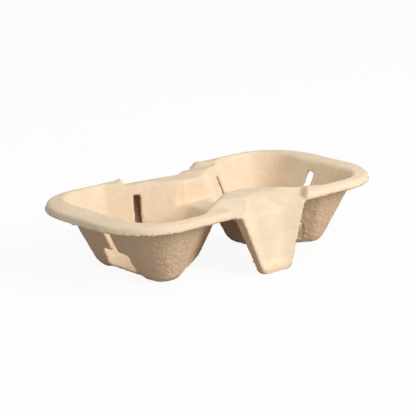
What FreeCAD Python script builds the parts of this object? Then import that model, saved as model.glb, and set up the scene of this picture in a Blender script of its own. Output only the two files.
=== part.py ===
import FreeCAD, Part
import math
import os

# Two-cup carrier moulded in one sheet of pulp. Millimetres, Z up.
# The origin is on the ground under the middle, X runs along both cups, Y across them.

# Sheet
wall = 2.0              # thickness of the pulp
height = 42.5           # ground to the crest of the rim

# Rim
rim_length = 215.0
rim_width = 106.0
rim_corner = 38.0       # radius of the rim's corners seen from above
rim_flare = 2.2         # how much narrower the lip is at the top, each side
rim_fall = 0.8          # how far the flat falls towards the lip
fall_width = 7.0        # width of the falling strip
lip_drop = 5.6          # height of the turned-down lip
lip_round = 2.4         # rounding from the flat into the lip
lip_steps = 3           # straight runs that make up the rounding

# Cup pockets, home-plate shaped, each round an upright axis
cup_axis = 52.0         # distance of each pocket's axis from the middle
slant = 32.4            # angle between X and the slanting walls, in degrees
pocket_end = 90.0       # end wall at the rim
pocket_side = 45.0      # long wall at the rim
pocket_tip = 1.5        # inner wall at the rim, if it went on that far up
pocket_tip_half = 14.6
pocket_corner = 22.0
floor_end = 67.5        # the same places at the ground
floor_side = 28.5
floor_tip = 23.2
floor_tip_half = 7.0
floor_corner = 8.0
floor_round = 2.2       # rounding between floor and walls
floor_steps = 2         # straight runs that make up that rounding
tip_round = 5.0
knee_round = 5.0        # where the long wall turns into the slanting one
corner_step = 9.0       # turn between the straight runs of a pocket's corner, in degrees
rim_ease = 1.4          # bevel from the walls into the rim

# Arch under the outer edge of each floor
arch_rise = 2.8
arch_half = 17.0
arch_start = 44.0

# Passage over the saddle between the pockets
saddle_drop = 14.0      # rim to saddle
passage_half = 19.0     # to the tips of the blocks
passage_run = 30.0      # past the blocks into the pockets
tip_lean = 1.6          # how much narrower the passage is at the saddle

# Raised pads on the tips of the blocks
pad_width = 16.0
pad_height = 12.0
pad_raise = 0.7
pad_drop = 1.2          # rim to the upper end of a pad

# Middle legs, each a tray on edge with a hollow front panel
block_edge = 33.0       # outer edge of the block tops
block_half = 31.0
neck_half = 40.0        # how far the dips beside a block reach
neck_edge = 40.0        # how far out they are widest
strip_edge = 49.0       # outer edge of the dips, where the rim goes on
strip_end = 31.5        # distance of the rim's end over a leg from the middle
strip_ramp = 5.0        # how far that end slants inwards down to the bend
leg_top_half = 28.5     # half width of a leg at the rim
leg_foot_half = 11.5    # half width at the ground
leg_top_out = 53.0      # distance of the front edge from the middle, at the rim
leg_foot_out = 57.2     # the same at the ground
leg_return_top = 8.0    # depth of the turned-back sides at the rim
leg_return_foot = 5.0   # the same at the ground
leg_edge = 1.5          # width of the edge that faces forward
foot_round = 2.5
shoulder_fall = 0.27    # fall of the shoulder for each millimetre outwards
hollow_top_half = 3.0   # half width of the hollow at the block's edge
bend_drop = 8.0         # rim to the bend between shoulder and panel
bend_half = 12.5        # half width of the hollow at the bend
bend_hollow = 5.2       # how far the panel lies behind the front edge there
panel_sill = 4.6        # ground to the lower end of the hollow
panel_foot_half = 6.6
panel_foot_hollow = 2.6

# Cut-outs, three to a pocket, at these angles round its axis
end_slit = 5.6          # width of the slit in the end wall
slant_slit = 4.2        # width of the slits in the slanting walls
slit_top = 7.0          # rim to the upper end of each slit
window_half = 12.0
window_top = 15.5       # height of the window's upper edge
window_sill = 4.6
window_flare = 1.0      # how much wider the window is at the sill, each side
cut_reach = 45.0        # from the pocket's axis past every wall
cuts = ((0.0, end_slit), (120.0, slant_slit), (240.0, slant_slit))

above = 3.0             # how far a cutting form runs past what it cuts


def vec(x, y, z):
    return FreeCAD.Vector(x, y, z)


def box(x0, x1, y0, y1, z0, z1):
    return Part.makeBox(x1 - x0, y1 - y0, z1 - z0, vec(x0, y0, z0))


def mirrored(shape, axis):
    return shape.mirror(vec(0, 0, 0), axis)


def both_ends(shape):
    return [shape, mirrored(shape, vec(1, 0, 0))]


def both_sides(shape):
    return [shape, mirrored(shape, vec(0, 1, 0))]


def fused(shapes):
    return shapes[0].multiFuse(shapes[1:])


def polygon(points):
    return Part.makePolygon(points + points[:1])


def corner_arcs(corners):
    """Centre, radius, first angle and turn of the arc that rounds each (x, y, radius) corner."""
    arcs = []
    for i, (x, y, radius) in enumerate(corners):
        before, after = corners[i - 1], corners[(i + 1) % len(corners)]
        coming = math.atan2(y - before[1], x - before[0])
        turn = math.remainder(math.atan2(after[1] - y, after[0] - x) - coming, 2 * math.pi)
        reach = radius * math.tan(turn / 2)
        centre_x = x - reach * math.cos(coming) - radius * math.sin(coming)
        centre_y = y - reach * math.sin(coming) + radius * math.cos(coming)
        arcs.append((centre_x, centre_y, radius, coming - math.pi / 2, turn))
    return arcs


def on_arc(arc, share, z):
    centre_x, centre_y, radius, first, turn = arc
    angle = first + turn * share
    return vec(centre_x + radius * math.cos(angle), centre_y + radius * math.sin(angle), z)


def rounded_wire(corners, z):
    """Closed outline through the corners, each rounded by a true arc."""
    arcs = corner_arcs(corners)
    edges = []
    for i, arc in enumerate(arcs):
        following = arcs[(i + 1) % len(arcs)]
        edges.append(Part.Arc(on_arc(arc, 0, z), on_arc(arc, 0.5, z), on_arc(arc, 1, z)).toShape())
        edges.append(Part.makeLine(on_arc(arc, 1, z), on_arc(following, 0, z)))
    return Part.Wire(edges)


def stepped_wire(corners, z):
    """The same outline with each corner in short straight runs, so that lofts of it are flat-sided."""
    points = []
    for arc in corner_arcs(corners):
        steps = max(2, round(math.degrees(arc[4]) / corner_step))
        points += [on_arc(arc, step / steps, z) for step in range(steps + 1)]
    return polygon(points)


def symmetric_polygon(half_points, z):
    """Outline at one height from its points on the +X side, mirrored in X."""
    right = [vec(x, y, z) for x, y in half_points]
    left = [vec(-x, y, z) for x, y in reversed(half_points)]
    return polygon(right + left)


def ruled_solid(wires):
    return Part.makeLoft(wires, True, True)


def rim_outline(z, cut):
    x, y = rim_length / 2 - cut, rim_width / 2 - cut
    radius = rim_corner - cut
    return rounded_wire([(x, y, radius), (-x, y, radius), (-x, -y, radius), (x, -y, radius)], z)


def rim_slab(inset):
    """Solid under the rim and block tops, for the upper face or for the face a wall below."""
    slope = rim_flare / lip_drop
    lip_top = height - inset - rim_fall
    low = height - lip_drop - (above if inset else 0)
    rounding = 0 if inset else lip_round
    cut = inset + slope * (lip_top - rounding - height + lip_drop)
    rings = [rim_outline(low, inset + slope * (low - height + lip_drop))]
    if inset:
        rings.append(rim_outline(lip_top, cut))
    else:
        for step in range(lip_steps + 1):
            turn = math.pi / 2 * step / lip_steps
            rings.append(rim_outline(lip_top - rounding * (1 - math.sin(turn)),
                                     cut + rounding * (1 - math.cos(turn))))
    rings.append(rim_outline(height - inset, cut + rounding + fall_width))
    return ruled_solid(rings)


def pocket_wire(z, grow):
    """Home-plate outline of the pocket on the +X side at one height."""
    share = z / height

    def between(low, high):
        return low + (high - low) * share

    run, rise = math.cos(math.radians(slant)), math.sin(math.radians(slant))
    end = between(floor_end, pocket_end) + grow
    side = between(floor_side, pocket_side) + grow
    tip = between(floor_tip, pocket_tip)
    offset = run * between(floor_tip_half, pocket_tip_half) - rise * tip + grow
    tip -= grow
    tip_half = (offset + rise * tip) / run
    knee = (run * side - offset) / rise
    corner = between(floor_corner, pocket_corner) + grow
    knee_r = knee_round + grow
    tip_r = tip_round + grow
    return stepped_wire([(end, -side, corner), (end, side, corner), (knee, side, knee_r),
                         (tip, tip_half, tip_r), (tip, -tip_half, tip_r), (knee, -side, knee_r)], z)


def arch_ridge(inset):
    """Raised strip of floor at the outer edge; the inset one is the hollow under it."""
    z = wall + arch_rise - inset
    foot, crown = arch_half + arch_rise - inset, arch_half - inset
    start = arch_start + inset

    def section(x):
        return polygon([vec(x, -foot, -above), vec(x, foot, -above), vec(x, foot, wall - inset),
                        vec(x, crown, z), vec(x, -crown, z), vec(x, -foot, wall - inset)])

    return ruled_solid([section(start), section(rim_length / 2)])


def pocket(grow):
    """Air inside the +X pocket, or that air grown by the wall."""
    lean = math.atan2(pocket_end - floor_end, height)
    side_grow = grow / math.cos(lean)
    rounding = floor_round + grow
    rings = []
    for step in range(floor_steps + 1):
        turn = math.pi / 2 * step / floor_steps
        z = wall - grow + rounding * (1 - math.cos(turn))
        rings.append(pocket_wire(z, side_grow - rounding * (1 - math.sin(turn))))
    rings.append(pocket_wire(height + above, side_grow))
    return ruled_solid(rings).cut(arch_ridge(grow))


def pocket_mouth():
    """Bevel from the pocket's walls into the rim."""
    return ruled_solid([pocket_wire(height - rim_ease, 0), pocket_wire(height + above, rim_ease + above)])


def passage_side(z):
    return passage_half - tip_lean * (height - z) / saddle_drop


def passage(grow):
    """Air over the saddle, between the tips of the two blocks."""
    low, top = height - saddle_drop - grow, height + above

    def section(x):
        half_low, half_top = passage_side(low) + grow, passage_side(top) + grow
        return polygon([vec(x, -half_low, low), vec(x, half_low, low), vec(x, half_top, top), vec(x, -half_top, top)])

    return ruled_solid([section(-passage_run / 2), section(passage_run / 2)])


def pad():
    """Flat raised panel on the tip of the front block."""
    def section(z):
        front = -passage_side(z) + pad_raise
        back = -passage_side(z) - wall / 2
        return symmetric_polygon([(pad_width / 2, back), (pad_width / 2, front)], z)

    top = height - pad_drop
    return ruled_solid([section(top - pad_height), section(top)])


def leg_half(z):
    return leg_foot_half + (leg_top_half - leg_foot_half) * z / height


def leg_out(z):
    return leg_foot_out + (leg_top_out - leg_foot_out) * z / height


def leg_return(z):
    return leg_return_foot + (leg_return_top - leg_return_foot) * z / height


def leg_frame():
    """Turned-back sides and foot of the front leg."""
    top = height - lip_drop / 2

    def block(inset, out, back, high):
        def section(z):
            half, front = leg_half(z) - inset, -leg_out(z) - out
            return symmetric_polygon([(half, front), (half, -leg_out(z) + leg_return(z) + back)], z)

        return ruled_solid([section(inset), section(high)])

    outer = block(0, 0, 0, top)
    corners = [e for e in outer.Edges
               if e.BoundBox.ZMax < 0.01 and e.BoundBox.YLength > 1 and e.BoundBox.XLength < 0.01]
    outer = outer.makeFillet(foot_round, corners)
    return outer.cut(block(wall, -wall, above, top + above))


def shoulder(grow):
    """Air over the shoulder that falls from the block's edge and runs out into the necks."""
    far = leg_foot_out + 2 * above
    low, top = height - bend_drop - grow, height + above
    drop = grow * math.hypot(1, shoulder_fall)

    def profile(x):
        return polygon([vec(x, -block_edge + grow, height - drop), vec(x, -block_edge + grow, top),
                        vec(x, -far, top), vec(x, -far, height - drop - shoulder_fall * (far - block_edge))])

    def plan(z):
        shrink = (height - z) / bend_drop
        neck = neck_half - shrink * (neck_half - leg_half(height)) + grow
        strip = strip_end - shrink * strip_ramp + grow
        return symmetric_polygon([(block_half + grow, -block_edge + grow), (neck, -neck_edge + grow / 2),
                                  (strip, -strip_edge - grow / 2), (strip, -far)], z)

    reach = rim_length / 2
    return ruled_solid([profile(-reach), profile(reach)]).common(ruled_solid([plan(low), plan(top)]))


def recess(grow):
    """Air in front of the hollow panel, narrowing upwards to the block's edge."""
    bend = height - bend_drop - grow * 0.8
    sill = panel_sill - grow
    far = leg_foot_out + 2 * above
    widen = grow * 0.3

    def section(z, half, hollow):
        out, side = leg_out(z), leg_half(z) - leg_edge + grow
        back = -out + hollow + grow * 1.08
        return symmetric_polygon([(side, -far), (side, -out), (half + widen, back)], z)

    at_bend = section(bend, bend_half, bend_hollow)
    upper = ruled_solid([at_bend, section(height, hollow_top_half, leg_out(height) - block_edge)])
    lower = ruled_solid([section(sill, panel_foot_half, panel_foot_hollow), at_bend])
    return upper.fuse(lower)


def leg_panel():
    """Sheet round the hollow and under the shoulder, kept inside the leg's outline and the rim."""
    neck = height - lip_drop / 2
    inner = -block_edge + 2 * wall

    def section(z):
        return symmetric_polygon([(leg_half(z), -leg_out(z)), (leg_half(z), inner)], z)

    envelope = ruled_solid([section(0), section(neck)])
    rim_edge = -rim_width / 2 + rim_flare
    crown = box(-leg_top_half, leg_top_half, rim_edge, inner, neck, height)
    necks = box(-neck_half - wall, neck_half + wall, rim_edge, inner, height - bend_drop, height)
    return recess(wall).common(envelope.fuse(crown)).fuse(shoulder(wall).common(envelope.fuse(necks)))


def radial_cut(low_half, low, high_half, high, angle):
    """Upright wedge from a pocket's axis outwards, cutting the wall that it meets."""
    def section(x):
        return polygon([vec(x, -low_half, low), vec(x, low_half, low), vec(x, high_half, high), vec(x, -high_half, high)])

    cutter = ruled_solid([section(4 * wall), section(cut_reach)])
    cutter.rotate(vec(0, 0, 0), vec(0, 0, 1), angle)
    cutter.translate(vec(cup_axis, 0, 0))
    return cutter


def cut_outs():
    """Slits and windows of the +X pocket."""
    cutters = []
    for angle, slit in cuts:
        cutters.append(radial_cut(slit / 2, window_top - wall / 2, slit / 2, height - slit_top, angle))
        cutters.append(radial_cut(window_half + window_flare, window_sill,
                                  window_half - window_flare, window_top, angle))
    return cutters


def carrier():
    below_rim = box(-rim_length, rim_length, -rim_width, rim_width, -above, height)
    shell = rim_slab(0).cut(rim_slab(wall))
    skins = fused(both_ends(pocket(wall)) + [passage(wall)]).common(below_rim)
    body = fused([shell, skins] + both_sides(leg_panel()) + both_sides(leg_frame()))
    air = both_ends(pocket(0)) + both_ends(pocket_mouth()) + [passage(0)]
    air += both_sides(recess(0)) + both_sides(shoulder(0))
    body = body.cut(fused(air)).fuse(both_sides(pad()))
    for cutter in cut_outs():
        body = body.cut(both_ends(cutter))
    return body.removeSplitter()


def main():
    os.makedirs("parts", exist_ok=True)
    shape = carrier()
    print("solids", [round(solid.Volume) for solid in shape.Solids], "valid", shape.isValid())
    print("size", shape.optimalBoundingBox())
    shape.Solids[0].exportStep("parts/cup_carrier.step")


main()
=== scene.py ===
import math

import bmesh
import bpy
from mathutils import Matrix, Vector, noise


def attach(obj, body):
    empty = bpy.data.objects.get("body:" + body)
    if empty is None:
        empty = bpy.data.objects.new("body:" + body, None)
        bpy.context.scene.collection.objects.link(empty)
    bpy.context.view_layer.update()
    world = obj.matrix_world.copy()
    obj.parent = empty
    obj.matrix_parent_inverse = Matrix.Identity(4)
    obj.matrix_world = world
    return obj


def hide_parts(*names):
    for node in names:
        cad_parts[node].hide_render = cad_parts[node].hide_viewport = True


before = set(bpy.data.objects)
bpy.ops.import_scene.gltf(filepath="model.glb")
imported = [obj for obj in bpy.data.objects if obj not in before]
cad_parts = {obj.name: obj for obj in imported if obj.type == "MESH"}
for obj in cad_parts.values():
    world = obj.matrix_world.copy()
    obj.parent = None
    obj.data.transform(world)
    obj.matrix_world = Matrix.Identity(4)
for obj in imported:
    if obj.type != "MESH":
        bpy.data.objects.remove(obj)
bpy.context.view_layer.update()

mm = 0.001
plainWhite = (1.0, 1.0, 1.0, 1.0)
print("frame loaded")


def softStep(low, high, value):
    share = min(max((value - low) / (high - low), 0.0), 1.0)
    return share * share * (3 - 2 * share)


# the moulded sheet: one skin, smooth on the mould side and rough on the felt side

sheetSettings = {
    "node": "cup_carrier",
    "weld": 0.01 * mm,
    "voxel": 1.02 * mm,
    "softenPasses": 1,
    "softenShare": 0.5,
    "roughBelow": (0.18, -0.06),  # normal z where the felt side begins and is full
    "tornBend": (0.16, 0.42),  # mean fold in radians where an edge begins to count as torn and fully does
    # grain, depth and noise shift of each wave in the surface
    "drift": (17.0 * mm, 0.175 * mm, 0.0),  # slow waviness of the whole sheet
    "mouldGrain": (1.6 * mm, 0.055 * mm, 3.1),
    "peel": (1.7 * mm, 0.26 * mm, 1.7),  # orange peel on the felt side
    "dimple": (3.6 * mm, 0.20 * mm, 5.3),
    "torn": (1.5 * mm, 0.50 * mm, 7.9),
}


def wave(place, settings):
    grain, depth, shift = settings
    return noise.noise(place / grain + Vector((shift, -shift, 2 * shift))) * depth


def copyOfNode(settings):
    bm = bmesh.new()
    bm.from_mesh(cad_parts[settings["node"]].data)
    bmesh.ops.remove_doubles(bm, verts=bm.verts, dist=settings["weld"])
    mesh = bpy.data.meshes.new("pulpSheet")
    bm.to_mesh(mesh)
    bm.free()
    sheet = bpy.data.objects.new("pulpSheet", mesh)
    bpy.context.scene.collection.objects.link(sheet)
    return sheet


def softenEdges(sheet, settings):
    remesh = sheet.modifiers.new("evenGrid", "REMESH")
    remesh.mode = "VOXEL"
    remesh.voxel_size = settings["voxel"]
    soften = sheet.modifiers.new("softEdges", "SMOOTH")
    soften.factor = settings["softenShare"]
    soften.iterations = settings["softenPasses"]
    depsgraph = bpy.context.evaluated_depsgraph_get()
    finished = bpy.data.meshes.new_from_object(sheet.evaluated_get(depsgraph))
    sheet.modifiers.clear()
    sheet.data = finished


def roughenFaces(sheet, settings):
    bm = bmesh.new()
    bm.from_mesh(sheet.data)
    bm.normal_update()
    roughSide = bm.verts.layers.float.new("roughSide")
    tornEdge = bm.verts.layers.float.new("tornEdge")
    moves = []
    for vert in bm.verts:
        fold = sum(edge.calc_face_angle_signed(0.0) for edge in vert.link_edges) / len(vert.link_edges)
        rough = softStep(*settings["roughBelow"], vert.normal.z)
        torn = softStep(*settings["tornBend"], fold)
        vert[roughSide] = rough
        vert[tornEdge] = torn
        push = wave(vert.co, settings["drift"]) + wave(vert.co, settings["mouldGrain"])
        push += rough * (wave(vert.co, settings["peel"]) + wave(vert.co, settings["dimple"]))
        push += torn * wave(vert.co, settings["torn"])
        moves.append(vert.normal * push)
    for vert, move in zip(bm.verts, moves):
        vert.co += move
        vert.co.z = max(vert.co.z, 0.0)  # the floors of the pockets stay on the ground
    for face in bm.faces:
        face.smooth = True
    print("sheet faces", len(bm.faces))
    bm.to_mesh(sheet.data)
    bm.free()


# shader nodes

def newGroup(name, inputs, outputs):
    group = bpy.data.node_groups.new(name, "ShaderNodeTree")
    for label, kind in inputs:
        group.interface.new_socket(label, in_out="INPUT", socket_type=kind)
    for label, kind in outputs:
        group.interface.new_socket(label, in_out="OUTPUT", socket_type=kind)
    entry = group.nodes.new("NodeGroupInput")
    leave = group.nodes.new("NodeGroupOutput")
    return group, entry, leave


def addNode(tree, kind, **values):
    node = tree.nodes.new(kind)
    for name, value in values.items():
        setattr(node, name, value)
    return node


def noiseNode(tree, vector, settings):
    node = addNode(tree, "ShaderNodeTexNoise")
    for name, value in zip(("Scale", "Detail", "Roughness", "Distortion"), settings):
        node.inputs[name].default_value = value
    tree.links.new(vector, node.inputs["Vector"])
    return node.outputs["Fac"]


def spanNode(tree, value, span):
    node = addNode(tree, "ShaderNodeMapRange", interpolation_type="SMOOTHSTEP")
    for index, number in enumerate(span, start=1):
        node.inputs[index].default_value = number
    tree.links.new(value, node.inputs[0])
    return node.outputs[0]


def mathNode(tree, operation, first, second):
    node = addNode(tree, "ShaderNodeMath", operation=operation)
    for index, value in enumerate((first, second)):
        if isinstance(value, float):
            node.inputs[index].default_value = value
        else:
            tree.links.new(value, node.inputs[index])
    return node.outputs[0]


def mixColour(tree, share, first, second):
    node = addNode(tree, "ShaderNodeMix", data_type="RGBA")
    for name, value in (("Factor_Float", share), ("A_Color", first), ("B_Color", second)):
        socket = next(s for s in node.inputs if s.identifier == name)
        if isinstance(value, tuple):
            socket.default_value = (*value, 1.0)
        else:
            tree.links.new(value, socket)
    return next(s for s in node.outputs if s.identifier == "Result_Color")


# each noise here has its scale per metre, detail, roughness and distortion

fibreSettings = {
    "cloud": (55.0, 8.0, 0.8, 0.0),  # slow mottling
    "felt": (420.0, 5.0, 0.65, 0.4),
    "fine": (1500.0, 3.0, 0.7, 0.0),
    "fineHeight": 0.45,
    "strand": (1.0, 2.0, 0.5, 0.8),
    "strandTurns": ((0.3, 0.5, 0.2), (1.2, -0.4, 1.9)),
    "strandStretch": (1300.0, 210.0, 1300.0),
    "strandSpan": (0.56, 0.72),
    "strandHeight": 0.22,
    "speckScale": 330.0,
    "speckSpan": (0.13, 0.05),
    "speckPatch": (132.0, 2.0, 0.55, 0.0),  # where specks gather
    "speckPatchSpan": (0.58, 0.68),
}


def strandMask(group, vector, settings):
    strands = None
    for turn in settings["strandTurns"]:
        mapping = addNode(group, "ShaderNodeMapping")
        mapping.inputs["Rotation"].default_value = turn
        mapping.inputs["Scale"].default_value = settings["strandStretch"]
        group.links.new(vector, mapping.inputs["Vector"])
        streak = noiseNode(group, mapping.outputs[0], settings["strand"])
        streak = spanNode(group, streak, settings["strandSpan"])
        strands = streak if strands is None else mathNode(group, "MAXIMUM", strands, streak)
    return strands


def speckMask(group, vector, settings):
    cells = addNode(group, "ShaderNodeTexVoronoi")
    cells.inputs["Scale"].default_value = settings["speckScale"]
    group.links.new(vector, cells.inputs["Vector"])
    spot = spanNode(group, cells.outputs["Distance"], settings["speckSpan"])
    patch = spanNode(group, noiseNode(group, vector, settings["speckPatch"]), settings["speckPatchSpan"])
    return mathNode(group, "MULTIPLY", spot, patch)


def fibreGroup(settings):
    group, entry, leave = newGroup(
        "pulpFibres",
        [("Vector", "NodeSocketVector")],
        [(name, "NodeSocketFloat") for name in ("Cloud", "Strands", "Specks", "Height")])
    vector = entry.outputs["Vector"]
    strands = strandMask(group, vector, settings)
    fine = mathNode(group, "MULTIPLY", noiseNode(group, vector, settings["fine"]), settings["fineHeight"])
    raised = mathNode(group, "MULTIPLY", strands, settings["strandHeight"])
    height = mathNode(group, "ADD", noiseNode(group, vector, settings["felt"]), fine)
    height = mathNode(group, "ADD", height, raised)
    group.links.new(noiseNode(group, vector, settings["cloud"]), leave.inputs["Cloud"])
    group.links.new(strands, leave.inputs["Strands"])
    group.links.new(speckMask(group, vector, settings), leave.inputs["Specks"])
    group.links.new(height, leave.inputs["Height"])
    return group


poreSettings = {
    "scale": 620.0,
    "warpDetail": 3.0,
    "cellShare": 0.8,
    # how low the bumps must be to take painted shade in the pore hollows
    "span": (-0.05, -0.35),
}


def poreGroup(settings):
    group, entry, leave = newGroup(
        "feltPores",
        [("Vector", "NodeSocketVector"), ("Scale", "NodeSocketFloat")],
        [("PoreShade", "NodeSocketFloat"), ("Height", "NodeSocketFloat")])
    cells = addNode(group, "ShaderNodeTexVoronoi", feature="SMOOTH_F1")
    warped = addNode(group, "ShaderNodeTexNoise")
    warped.inputs["Detail"].default_value = settings["warpDetail"]
    for node in (cells, warped):
        group.links.new(entry.outputs["Vector"], node.inputs["Vector"])
        group.links.new(entry.outputs["Scale"], node.inputs["Scale"])
    hollows = mathNode(group, "MULTIPLY", cells.outputs["Distance"], settings["cellShare"])
    bumps = mathNode(group, "SUBTRACT", warped.outputs["Fac"], hollows)
    # the low spots of the bumps give the mask of painted shade for the pore hollows
    group.links.new(spanNode(group, bumps, settings["span"]), leave.inputs["PoreShade"])
    group.links.new(bumps, leave.inputs["Height"])
    return group


pulpFinish = {
    "mould": (0.88, 0.685, 0.475),
    "mouldPale": (0.95, 0.785, 0.585),
    "cloudSpan": (0.34, 0.66),
    "felt": (0.83, 0.585, 0.385),
    # painted shade: darker felt colour laid into the pore hollows
    "feltPoreShade": (0.58, 0.38, 0.225),
    "fibre": (0.97, 0.85, 0.68),
    "speck": (0.42, 0.26, 0.14),
    "edge": (0.86, 0.60, 0.375),
    "strandShare": 0.36,
    "speckShare": 0.6,
    "edgeShare": 0.55,
    "roughness": 0.93,
    "specular": 0.18,
    "mouldBump": 0.62,
    "feltBump": 0.95,
    "bumpHeight": 0.5 * mm,
}


def pulpMaterial(settings):
    material = bpy.data.materials.new("mouldedPulp")
    material.use_nodes = True
    tree = material.node_tree
    shader = tree.nodes["Principled BSDF"]
    place = addNode(tree, "ShaderNodeTexCoord").outputs["Object"]
    fibres = addNode(tree, "ShaderNodeGroup", node_tree=fibreGroup(fibreSettings))
    pores = addNode(tree, "ShaderNodeGroup", node_tree=poreGroup(poreSettings))
    tree.links.new(place, fibres.inputs["Vector"])
    tree.links.new(place, pores.inputs["Vector"])
    pores.inputs["Scale"].default_value = poreSettings["scale"]
    rough = addNode(tree, "ShaderNodeAttribute", attribute_name="roughSide").outputs["Fac"]
    torn = addNode(tree, "ShaderNodeAttribute", attribute_name="tornEdge").outputs["Fac"]

    clouds = spanNode(tree, fibres.outputs["Cloud"], settings["cloudSpan"])
    strands = mathNode(tree, "MULTIPLY", fibres.outputs["Strands"], settings["strandShare"])
    specks = mathNode(tree, "MULTIPLY", fibres.outputs["Specks"], settings["speckShare"])
    edges = mathNode(tree, "MULTIPLY", torn, settings["edgeShare"])
    mould = mixColour(tree, clouds, settings["mould"], settings["mouldPale"])
    # painted shade in the pore hollows of the felt side
    felt = mixColour(tree, pores.outputs["PoreShade"], settings["felt"], settings["feltPoreShade"])
    colour = mixColour(tree, rough, mould, felt)
    colour = mixColour(tree, strands, colour, settings["fibre"])
    colour = mixColour(tree, specks, colour, settings["speck"])
    colour = mixColour(tree, edges, colour, settings["edge"])
    tree.links.new(colour, shader.inputs["Base Color"])
    shader.inputs["Roughness"].default_value = settings["roughness"]
    shader.inputs["Specular IOR Level"].default_value = settings["specular"]

    feltHeight = mathNode(tree, "MULTIPLY", pores.outputs["Height"], settings["feltBump"])
    feltHeight = mathNode(tree, "MULTIPLY", feltHeight, rough)
    mouldHeight = mathNode(tree, "MULTIPLY", fibres.outputs["Height"], settings["mouldBump"])
    bump = addNode(tree, "ShaderNodeBump")
    bump.inputs["Distance"].default_value = settings["bumpHeight"]
    tree.links.new(mathNode(tree, "ADD", feltHeight, mouldHeight), bump.inputs["Height"])
    tree.links.new(bump.outputs["Normal"], shader.inputs["Normal"])
    return material


def makeSheet(settings):
    sheet = copyOfNode(settings)
    softenEdges(sheet, settings)
    roughenFaces(sheet, settings)
    sheet.data.materials.clear()
    sheet.data.materials.append(pulpMaterial(pulpFinish))
    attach(sheet, "root")
    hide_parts(settings["node"])


makeSheet(sheetSettings)
print("sheet made")

# plain studio

studio = {
    "floorHalf": 4.0,
    "floorGap": 0.05 * mm,
    "floorGrey": 0.42,
    "floorGlow": 0.92,  # share of plain white that the camera sees over the lit floor
    "skyLevel": 0.50,
    "keyTurn": 18.0,  # degrees from the front towards +X
    "keyRise": 34.0,
    "keyReach": 1.5,
    "keySize": 0.8,
    "keyPower": 15.5,
}


def seenRays(tree):
    path = addNode(tree, "ShaderNodeLightPath")
    plain = mathNode(tree, "MAXIMUM", path.outputs["Is Camera Ray"], path.outputs["Is Glossy Ray"])
    return mathNode(tree, "MAXIMUM", plain, path.outputs["Is Transmission Ray"])


def floorMaterial(settings):
    material = bpy.data.materials.new("paleFloor")
    material.use_nodes = True
    tree = material.node_tree
    tree.nodes.clear()
    lit = addNode(tree, "ShaderNodeBsdfDiffuse")
    lit.inputs["Color"].default_value = (*[settings["floorGrey"]] * 3, 1.0)
    paper = addNode(tree, "ShaderNodeBsdfDiffuse")
    paper.inputs["Color"].default_value = plainWhite
    glow = addNode(tree, "ShaderNodeEmission")
    backdrop = addNode(tree, "ShaderNodeMixShader")
    backdrop.inputs["Fac"].default_value = settings["floorGlow"]
    tree.links.new(paper.outputs[0], backdrop.inputs[1])
    tree.links.new(glow.outputs[0], backdrop.inputs[2])
    blend = addNode(tree, "ShaderNodeMixShader")
    tree.links.new(seenRays(tree), blend.inputs["Fac"])
    tree.links.new(lit.outputs[0], blend.inputs[1])
    tree.links.new(backdrop.outputs[0], blend.inputs[2])
    output = addNode(tree, "ShaderNodeOutputMaterial")
    tree.links.new(blend.outputs[0], output.inputs["Surface"])
    return material


def makeFloor(settings):
    bm = bmesh.new()
    bmesh.ops.create_grid(bm, x_segments=1, y_segments=1, size=settings["floorHalf"])
    bmesh.ops.translate(bm, verts=bm.verts, vec=(0.0, 0.0, -settings["floorGap"]))
    mesh = bpy.data.meshes.new("paleFloor")
    bm.to_mesh(mesh)
    bm.free()
    floor = bpy.data.objects.new("paleFloor", mesh)
    bpy.context.scene.collection.objects.link(floor)
    mesh.materials.append(floorMaterial(settings))


def makeSky(settings):
    world = bpy.data.worlds.new("studioSky")
    bpy.context.scene.world = world
    world.use_nodes = True
    tree = world.node_tree
    tree.nodes.clear()
    sky = addNode(tree, "ShaderNodeBackground")
    sky.inputs["Strength"].default_value = settings["skyLevel"]
    sky.inputs["Color"].default_value = plainWhite
    backdrop = addNode(tree, "ShaderNodeBackground")
    backdrop.inputs["Color"].default_value = plainWhite
    blend = addNode(tree, "ShaderNodeMixShader")
    tree.links.new(seenRays(tree), blend.inputs["Fac"])
    tree.links.new(sky.outputs[0], blend.inputs[1])
    tree.links.new(backdrop.outputs[0], blend.inputs[2])
    output = addNode(tree, "ShaderNodeOutputWorld")
    tree.links.new(blend.outputs[0], output.inputs["Surface"])


def facing(turn, rise):
    turn, rise = math.radians(turn), math.radians(rise)
    return Vector((math.sin(turn) * math.cos(rise), -math.cos(turn) * math.cos(rise), math.sin(rise)))


def makeKey(settings):
    lamp = bpy.data.lights.new("keyPanel", "AREA")
    lamp.size = settings["keySize"]
    lamp.energy = settings["keyPower"]
    key = bpy.data.objects.new("keyPanel", lamp)
    away = facing(settings["keyTurn"], settings["keyRise"])
    key.location = away * settings["keyReach"]
    key.rotation_euler = away.to_track_quat("Z", "Y").to_euler()
    bpy.context.scene.collection.objects.link(key)


makeFloor(studio)
makeSky(studio)
makeKey(studio)
print("studio made")

# the photograph's view: the middle of the rim lies at aimPixel in a square picture of imagePixels

view = {
    "turn": -42.95,
    "rise": 14.65,
    "distance": 1.064,
    "aim": (0.0, 0.0, 42.5 * mm),
    "focalPixels": 1745.0,
    "imagePixels": 416.0,
    "aimPixel": (212.4, 184.2),
    "sensor": 36.0,
}


def makeCamera(settings):
    lens = bpy.data.cameras.new("photoCamera")
    lens.sensor_width = settings["sensor"]
    lens.lens = settings["focalPixels"] / settings["imagePixels"] * settings["sensor"]
    middle = settings["imagePixels"] / 2
    lens.shift_x = (middle - settings["aimPixel"][0]) / settings["imagePixels"]
    lens.shift_y = (settings["aimPixel"][1] - middle) / settings["imagePixels"]
    camera = bpy.data.objects.new("photoCamera", lens)
    away = facing(settings["turn"], settings["rise"])
    camera.location = Vector(settings["aim"]) + away * settings["distance"]
    camera.rotation_euler = away.to_track_quat("Z", "Y").to_euler()
    bpy.context.scene.collection.objects.link(camera)
    bpy.context.scene.camera = camera


makeCamera(view)
bpy.context.scene.view_settings.view_transform = "Standard"
print("camera placed")
